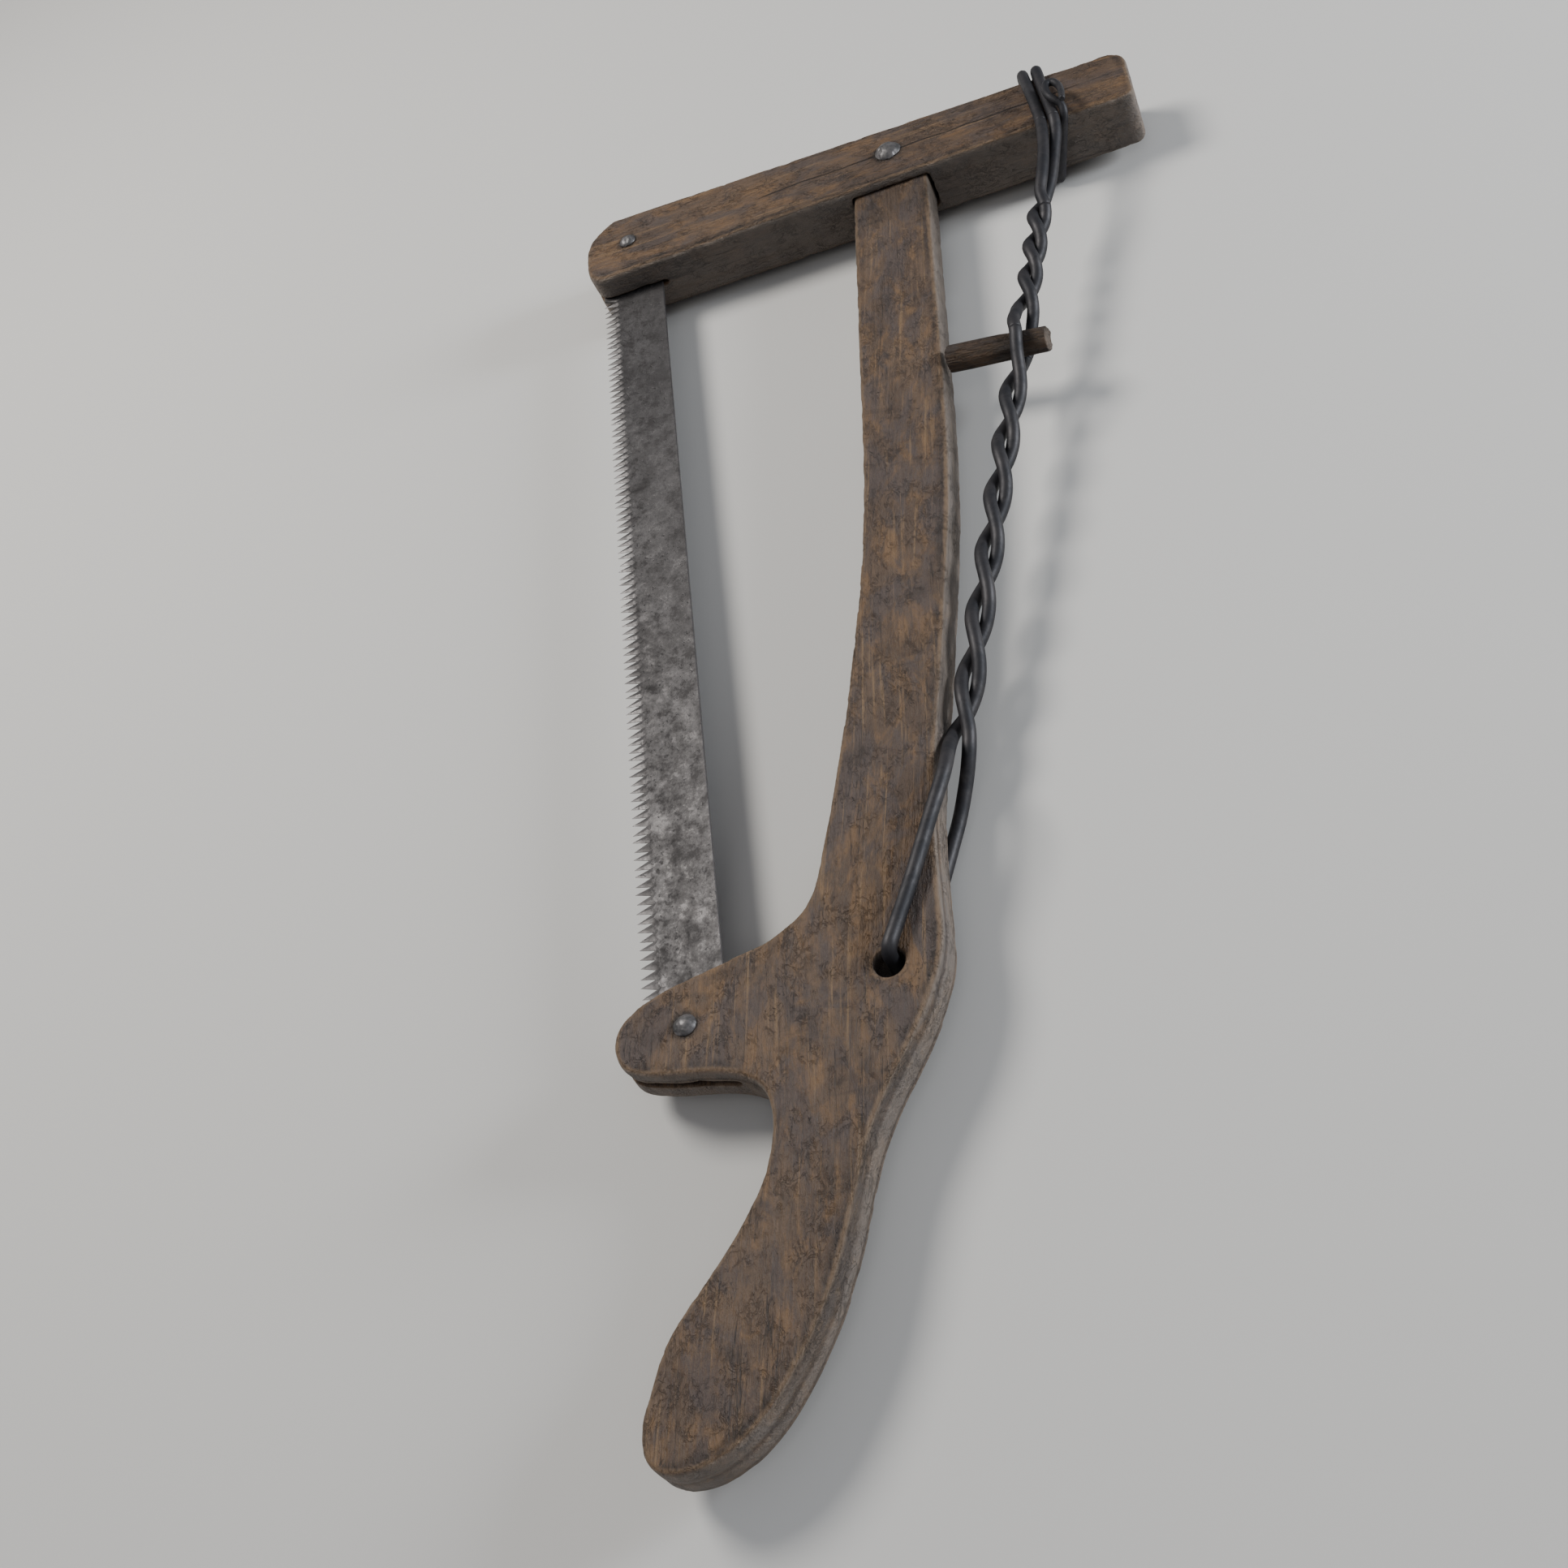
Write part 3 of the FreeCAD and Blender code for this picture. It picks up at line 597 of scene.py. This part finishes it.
def blade_piece():
    """A plate with needle teeth. Each tooth is filed from both sides to a ridge, and leans a little out of the plate."""
    rng = np.random.default_rng(5)
    verts = []
    faces = []
    bare = []

    def point(x, y, z, bright=0.0):
        verts.append(at(x, y, z))
        bare.append(bright)
        return len(verts) - 1

    gullets = []
    behind = []
    for i in range(TEETH + 1):
        x = GULLET + rng.uniform(-0.30, 0.10)
        y = TEETH_FROM + PITCH * i + rng.uniform(-0.15, 0.15)
        gullets.append([point(x, y, side * 0.16, 0.55) for side in (1, -1)])
        behind.append([point(GULLET + 1.5, y, side * HALF, 0.05) for side in (1, -1)])
    chains = [[behind[0][0]], [behind[0][1]]]
    for i in range(TEETH):
        low = TEETH_FROM + PITCH * i
        middle = low + PITCH / 2
        short = min(abs(rng.normal(0, 0.22)), 0.8)
        lean = 0.22 if i % 2 else -0.22
        root = middle + rng.uniform(-0.15, 0.15)
        swing = middle + rng.uniform(-0.30, 0.30)
        tips = [point(0.02 + short, swing, lean + side * 0.07, 0.8) for side in (1, -1)]
        for k, side in ((0, 1), (1, -1)):
            ridge = point(GULLET + 0.3, root, side * HALF, 0.20)
            g0, g1 = gullets[i][k], gullets[i + 1][k]
            faces += [(tips[k], g0, ridge), (tips[k], ridge, g1)]
            faces += [(g0, behind[i][k], ridge), (ridge, behind[i + 1][k], g1)]
            chains[k] += [ridge, behind[i + 1][k]]
        faces += [(gullets[i][0], tips[0], tips[1], gullets[i][1])]
        faces += [(gullets[i + 1][0], gullets[i + 1][1], tips[1], tips[0])]

    rest = [(0.6, 371.0), (0.6, 391.0), (9, 399.9), (26.4, 399.9), (29.3, 397)]
    rest += [(29.3, 397 - 27.0 * k) for k in range(1, 16)]
    rest += [(29.3, -34), (26.4, -36.9), (5, -36.9), (0.6, -32), (0.6, -21.0)]
    centre = np.array([15.0, 180.0])
    rest_front, rest_back, rest_mid_front, rest_mid_back = [], [], [], []
    for x, y in rest:
        inward = np.sign(centre - np.array([x, y])) * 0.22
        rest_front.append(point(x + inward[0], y, HALF, 0.25))
        rest_back.append(point(x + inward[0], y, -HALF, 0.25))
        rest_mid_front.append(point(x, y, HALF - 0.22, 0.7))
        rest_mid_back.append(point(x, y, -HALF + 0.22, 0.7))
    count = len(rest)
    for k in range(count - 1):
        faces.append((rest_front[k], rest_front[k + 1], rest_mid_front[k + 1], rest_mid_front[k]))
        faces.append((rest_mid_front[k], rest_mid_front[k + 1], rest_mid_back[k + 1], rest_mid_back[k]))
        faces.append((rest_mid_back[k], rest_mid_back[k + 1], rest_back[k + 1], rest_back[k]))
    for k, tail in ((0, rest_front), (1, rest_back)):
        faces.append((behind[-1][k], tail[0], gullets[-1][k]))
        faces.append((behind[0][k], gullets[0][k], tail[-1]))
    top_wall = (gullets[-1][0], rest_front[0], rest_mid_front[0], rest_mid_back[0], rest_back[0], gullets[-1][1])
    low_wall = (rest_front[-1], gullets[0][0], gullets[0][1], rest_back[-1], rest_mid_back[-1], rest_mid_front[-1])
    faces += [top_wall, low_wall]

    holes = [ring(18.6, 391.0, 2.33), ring(17.8, -30.0, 2.40, stretch=2.9)]
    rings = []
    for outline in holes:
        pair = [[point(x, y, z) for x, y in outline] for z in (HALF, -HALF)]
        rings.append(pair)
        for k in range(len(outline)):
            m = (k + 1) % len(outline)
            faces.append((pair[0][k], pair[1][k], pair[1][m], pair[0][m]))
    for side, chain, tail in ((0, chains[0], rest_front), (1, chains[1], rest_back)):
        outer = chain + tail
        loops = [outer] + [pair[side] for pair in rings]
        flat = [[Vector((verts[i].x, verts[i].y, 0)) for i in loop] for loop in loops]
        index = [i for loop in loops for i in loop]
        for tri in tessellate_polygon(flat):
            faces.append(tuple(index[t] for t in tri))
    obj = new_object("blade_toothed", verts, faces)
    mesh = obj.data
    work = bmesh.new()
    work.from_mesh(mesh)
    bmesh.ops.recalc_face_normals(work, faces=work.faces)
    work.to_mesh(mesh)
    work.free()
    vector_layer(mesh, "place", co_of(mesh) / MM)
    float_layer(mesh, "bare", bare)
    mesh.materials.append(blade_material())
    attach(obj, "blade")
    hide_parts("blade")


# ---- rivets ----


def rivet_pieces():
    dark = iron_material("rivet_iron", rgb(76, 75, 75), rgb(112, 109, 109), "place", 0.30, 0.42, 0.54)
    for seed, (node, body) in enumerate((("pivot_rivet", "arm"), ("blade_top_rivet", "arm"), ("blade_foot_rivet", "stock"))):
        obj = dense_copy(node, node + "_worn", 0.3 * MM, 2)
        mesh = obj.data
        p = co_of(mesh) / MM
        facets = noise(p / 3.1, 60 + seed)
        depth = 0.30 * step(0.45, 0.80, facets) + 0.10 * step(0.5, 0.8, noise(p / 1.1, 70 + seed))
        set_back(obj, node, depth)
        vector_layer(mesh, "place", p)
        smooth(mesh)
        mesh.materials.append(dark)
        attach(obj, body)
        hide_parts(node)
    for node in ("pivot_rove", "blade_top_rove", "blade_foot_rove"):
        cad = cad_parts[node]
        s = Shade(node + "_iron")
        place = s.node("ShaderNodeTexCoord").outputs["Object"]
        patches = s.noise(s.scaled(place, (420, 420, 420)), 5, 0.6)
        s.put(s.shader.inputs["Base Color"], s.mix(s.span(patches, 0.35, 0.65), rgb(44, 41, 40), rgb(92, 86, 82)))
        s.put(s.shader.inputs["Roughness"], s.span(patches, 0.3, 0.7, 0.6, 0.4))
        s.shader.inputs["Metallic"].default_value = 0.75
        s.put(s.shader.inputs["Normal"], s.bump(patches, 0.0002, 0.6))
        for holder in cad.material_slots:
            holder.link = "OBJECT"
            holder.material = s.material


# ---- wire ----

ARM_T = 25.5
STOCK_T = 16.0
WIRE_R = 2.5
TAIL_R = 1.7
TAIL_LENGTH = 47.0
TAPER = 24.0
GAP = 0.3
TWIST_R = 3.0
EYE_R = 8.9
EYE_HALF = 10.5
CALM = 10.0
HALF_TURN_ABOVE = 17.2
HALF_TURN_BELOW = 22.4
HALF_TURN_GROWTH = 1.25
TWIST_FROM = -81.8
TWIST_TO = 172.0
TWIST_FRONT = np.array([0, 0, 1.0]) - TWIST_DOWN * TWIST_DOWN[2]
TWIST_FRONT = TWIST_FRONT / np.linalg.norm(TWIST_FRONT)
TWIST_RIGHT = np.cross(TWIST_FRONT, TWIST_DOWN)


def eased(distance):
    past = distance - CALM - 3.0
    return (math.sqrt(past * past + 36.0) + past) / 2


def strand_point(s, turned):
    if s < 0:
        angle = math.pi / 2 + math.pi * eased(-s) / HALF_TURN_ABOVE
    else:
        root = math.sqrt(HALF_TURN_BELOW**2 + 2 * HALF_TURN_GROWTH * eased(s))
        angle = math.pi / 2 - math.pi * (root - HALF_TURN_BELOW) / HALF_TURN_GROWTH
    angle += turned
    radius = TWIST_R + (EYE_R - TWIST_R) * math.exp(-((s / EYE_HALF) ** 2))
    offset = TWIST_RIGHT * (radius * math.cos(angle)) + TWIST_FRONT * (radius * math.sin(angle))
    return EYE + TWIST_DOWN * s + offset


def underside(x):
    return 370.7 - 0.0884 * x


def top(x):
    return 414.3 - 0.1262 * x


def rounded(corners):
    """Points 0.4 mm apart along straight runs joined by tangent arcs. Each corner is (x, y, z, radius or None)."""
    at_ = [np.array(c[:3], float) for c in corners]
    pieces = [at_[0][None]]
    reach = at_[0]
    for i in range(1, len(at_) - 1):
        back = at_[i - 1] - at_[i]
        on = at_[i + 1] - at_[i]
        lengths = np.linalg.norm(back), np.linalg.norm(on)
        back, on = back / lengths[0], on / lengths[1]
        turn = math.acos(max(-1.0, min(1.0, -float(back @ on))))
        radius = corners[i][3] or 0.45 * min(lengths) / math.tan(turn / 2)
        cut = radius * math.tan(turn / 2)
        start = at_[i] + back * cut
        centre_way = back + on
        centre = at_[i] + centre_way / np.linalg.norm(centre_way) * (radius / math.cos(turn / 2))
        steps = max(2, int(np.linalg.norm(start - reach) / 0.4))
        pieces.append(reach + (start - reach) * np.linspace(0, 1, steps)[1:, None])
        a = start - centre
        b = back * -1.0
        angles = np.linspace(0, turn, max(3, int(radius * turn / 0.4)))[1:, None]
        arc = centre + a * np.cos(angles) + b * radius * np.sin(angles)
        pieces.append(arc)
        reach = arc[-1]
    steps = max(2, int(np.linalg.norm(at_[-1] - reach) / 0.4))
    pieces.append(reach + (at_[-1] - reach) * np.linspace(0, 1, steps)[1:, None])
    return np.concatenate(pieces)


def spaced(points, gap):
    length = np.r_[0, np.cumsum(np.linalg.norm(np.diff(points, axis=0), axis=1))]
    at_ = np.linspace(0, length[-1], int(length[-1] / gap))
    return np.stack([np.interp(at_, length, points[:, k]) for k in range(3)], 1)


def softened(points, rounds):
    for _ in range(rounds):
        points = np.concatenate([points[:1], (points[:-2] + 2 * points[1:-1] + points[2:]) / 4, points[-1:]])
    return points


def wire_line():
    face = ARM_T / 2 + WIRE_R + GAP
    flat = STOCK_T / 2 + WIRE_R + GAP
    bend = 2.4 + WIRE_R + GAP
    over = WIRE_R + GAP

    def strand(turned):
        count = 40
        stations = [TWIST_FROM + (TWIST_TO - TWIST_FROM) * i / count for i in range(count + 1)]
        return [(*strand_point(s, turned), None) for s in stations]

    route = [(199.5, 372.5, -face, None)]
    route += [(205.4, top(205.4) + over, -face, bend), (206.3, top(206.3) + over, face, bend)]
    route += [(207.1, 372.0, face, None), (207.7, 350.0, face, None), (205.2, 331.0, 15.6, None)]
    route += [(201.7, 316.0, 15.2, None)]
    route += strand(0.0)
    route += [(122.6, 55.0, 0.0, None), (120.3, 47.0, -2.4, None), (117.0, 40.5, -6.6, None)]
    route += [(111.8, 30.0, -flat, None), (99.0, 0.0, -flat, None)]
    route += [(86.0, -27.7, -flat, 3.2), (86.0, -27.7, flat, 3.2)]
    route += [(97.0, -5.0, flat, None), (106.2, 16.4, flat, None)]
    route += [(114.0, 33.4, flat, None), (115.6, 43.6, 7.2, None), (115.8, 50.8, 2.4, None)]
    route += [(117.2, 58.4, -1.6, None)]
    route += strand(math.pi)[::-1]
    route += [(204.0, 317.6, 8.6, None), (208.2, 331.0, 10.4, None), (212.3, 343.5, 13.2, None)]
    route += [(213.0, 350.8, face, None), (212.5, 374.0, face, None)]
    route += [(212.3, top(212.3) + over, face, bend), (211.7, top(211.7) + over, -face, bend)]
    route += [(207.1, underside(207.1) - over, -face, bend)]
    thin = TAIL_R + GAP
    route += [(217.5, underside(217.5) - thin, ARM_T / 2 + thin, 2.4 + thin)]
    route += [(217.9, 353.4, 17.3, None), (213.9, 356.2, 20.2, None), (213.0, 362.5, 20.1, None)]
    route += [(214.0, 367.6, 20.0, None), (217.2, 368.2, 19.6, None), (219.0, 363.5, 19.6, None)]
    route += [(219.2, 356.6, 21.2, None), (218.3, 347.5, 23.0, None)]
    return softened(spaced(rounded(route), 0.7), 4)


def frames_along(points):
    """A tangent and a steady sideways direction at each point."""
    tangent = np.gradient(points, axis=0)
    tangent /= np.linalg.norm(tangent, axis=1)[:, None]
    sideways = np.empty_like(points)
    side = np.cross(tangent[0], [0, 0, 1.0])
    for i, t in enumerate(tangent):
        side = side - t * (side @ t)
        side = side / np.linalg.norm(side)
        sideways[i] = side
    return tangent, sideways


def tube(points, tangent, sideways, stations, radius, around=20, round_ends=(False, False)):
    """Vertices, faces and (angle, length) layer values of a closed tube."""
    verts = []
    faces = []
    place = []
    rows = len(points)
    for i in range(rows):
        up = np.cross(tangent[i], sideways[i])
        for k in range(around):
            a = 2 * math.pi * k / around
            verts.append(points[i] + (sideways[i] * math.cos(a) + up * math.sin(a)) * radius[i])
            place.append((math.cos(a) * WIRE_R, stations[i], math.sin(a) * WIRE_R))
    for i in range(rows - 1):
        for k in range(around):
            m = (k + 1) % around
            faces.append((i * around + k, i * around + m, (i + 1) * around + m, (i + 1) * around + k))
    faces.append(tuple(range(around))[::-1])
    faces.append(tuple((rows - 1) * around + k for k in range(around)))
    return verts, faces, place


def wire_pieces():
    line = wire_line()
    station = np.r_[0, np.cumsum(np.linalg.norm(np.diff(line, axis=0), axis=1))]
    tangent, sideways = frames_along(line)
    ends = np.minimum(station, station[-1] - station)
    wear = noise(np.stack([station / 9.0, station * 0, station * 0], 1), 90)
    left = station[-1] - station
    tail = (WIRE_R - TAIL_R) * np.clip((TAIL_LENGTH + TAPER - left) / TAPER, 0, 1) + 0.25 * step(30.0, 5.0, left)
    radius = WIRE_R - 0.02 - 0.05 * step(0.45, 0.9, wear) - 0.5 * step(0.9, 0.0, ends) - tail
    s_of = (line - EYE) @ TWIST_DOWN
    half = len(line) // 2
    eye = np.flatnonzero(s_of[:-1] * s_of[1:] <= 0) + 1
    calm = np.flatnonzero((s_of[:-1] + 76) * (s_of[1:] + 76) <= 0) + 1
    crosses = (line[:-1, 1] - 349.5) * (line[1:, 1] - 349.5) <= 0
    in_front = (line[1:, 2] > 13.0) & (line[1:, 2] < 16.6) & (line[1:, 0] < 215.5)
    on_arm = np.flatnonzero(crosses & in_front) + 1
    first_eye, second_eye = int(eye[0]), int(eye[-1])
    first_calm, second_calm = int(calm[0]), int(calm[-1])
    first_arm, second_arm = int(on_arm[0]), int(on_arm[on_arm > half][0])
    spans = {
        "wire_lower": [(first_eye, second_eye + 1)],
        "wire_upper": [(first_calm, first_eye + 1), (second_eye, second_calm + 1)],
        "wire_shoulder": [(first_arm - 6, first_calm + 1), (second_calm, second_arm + 7)],
        "wire_knot": [(0, first_arm + 1), (second_arm, len(line))],
    }
    material = iron_material("wire_iron", rgb(41, 41, 45), rgb(58, 56, 58), "place", 0.12, 0.50, 0.60)
    made = {}
    for name, parts in spans.items():
        verts, faces, place = [], [], []
        for a, b in parts:
            thin = radius[a:b]
            if name == "wire_shoulder":
                rows = np.arange(a, b)
                thin = np.where((rows < first_arm) | (rows > second_arm), thin * 0.93, thin)
            v, f, q = tube(line[a:b], tangent[a:b], sideways[a:b], station[a:b], thin)
            base = len(verts)
            verts += [at(*x) for x in v]
            faces += [tuple(i + base for i in face) for face in f]
            place += q
        obj = new_object(name, verts, faces)
        vector_layer(obj.data, "place", place)
        smooth(obj.data)
        for face in obj.data.polygons:
            face.use_smooth = len(face.vertices) == 4
        obj.data.materials.append(material)
        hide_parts("tension_wire")
        made[name] = obj
    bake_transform(made["wire_lower"], "stock", "toggle", start=at(*(EYE + TWIST_DOWN * 166)), end=at(*(EYE + TWIST_DOWN * 12)))
    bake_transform(made["wire_upper"], "stock", "toggle", start=at(*(EYE - TWIST_DOWN * 75)), end=at(*(EYE - TWIST_DOWN * 12)))
    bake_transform(made["wire_shoulder"], "stock", "arm", start=at(*(EYE - TWIST_DOWN * 77)), end=at(212.0, 344.0, 12.0))
    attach(made["wire_knot"], "arm")


look()
studio()
stock_piece()
arm_piece()
peg_piece()
blade_piece()
rivet_pieces()
wire_pieces()
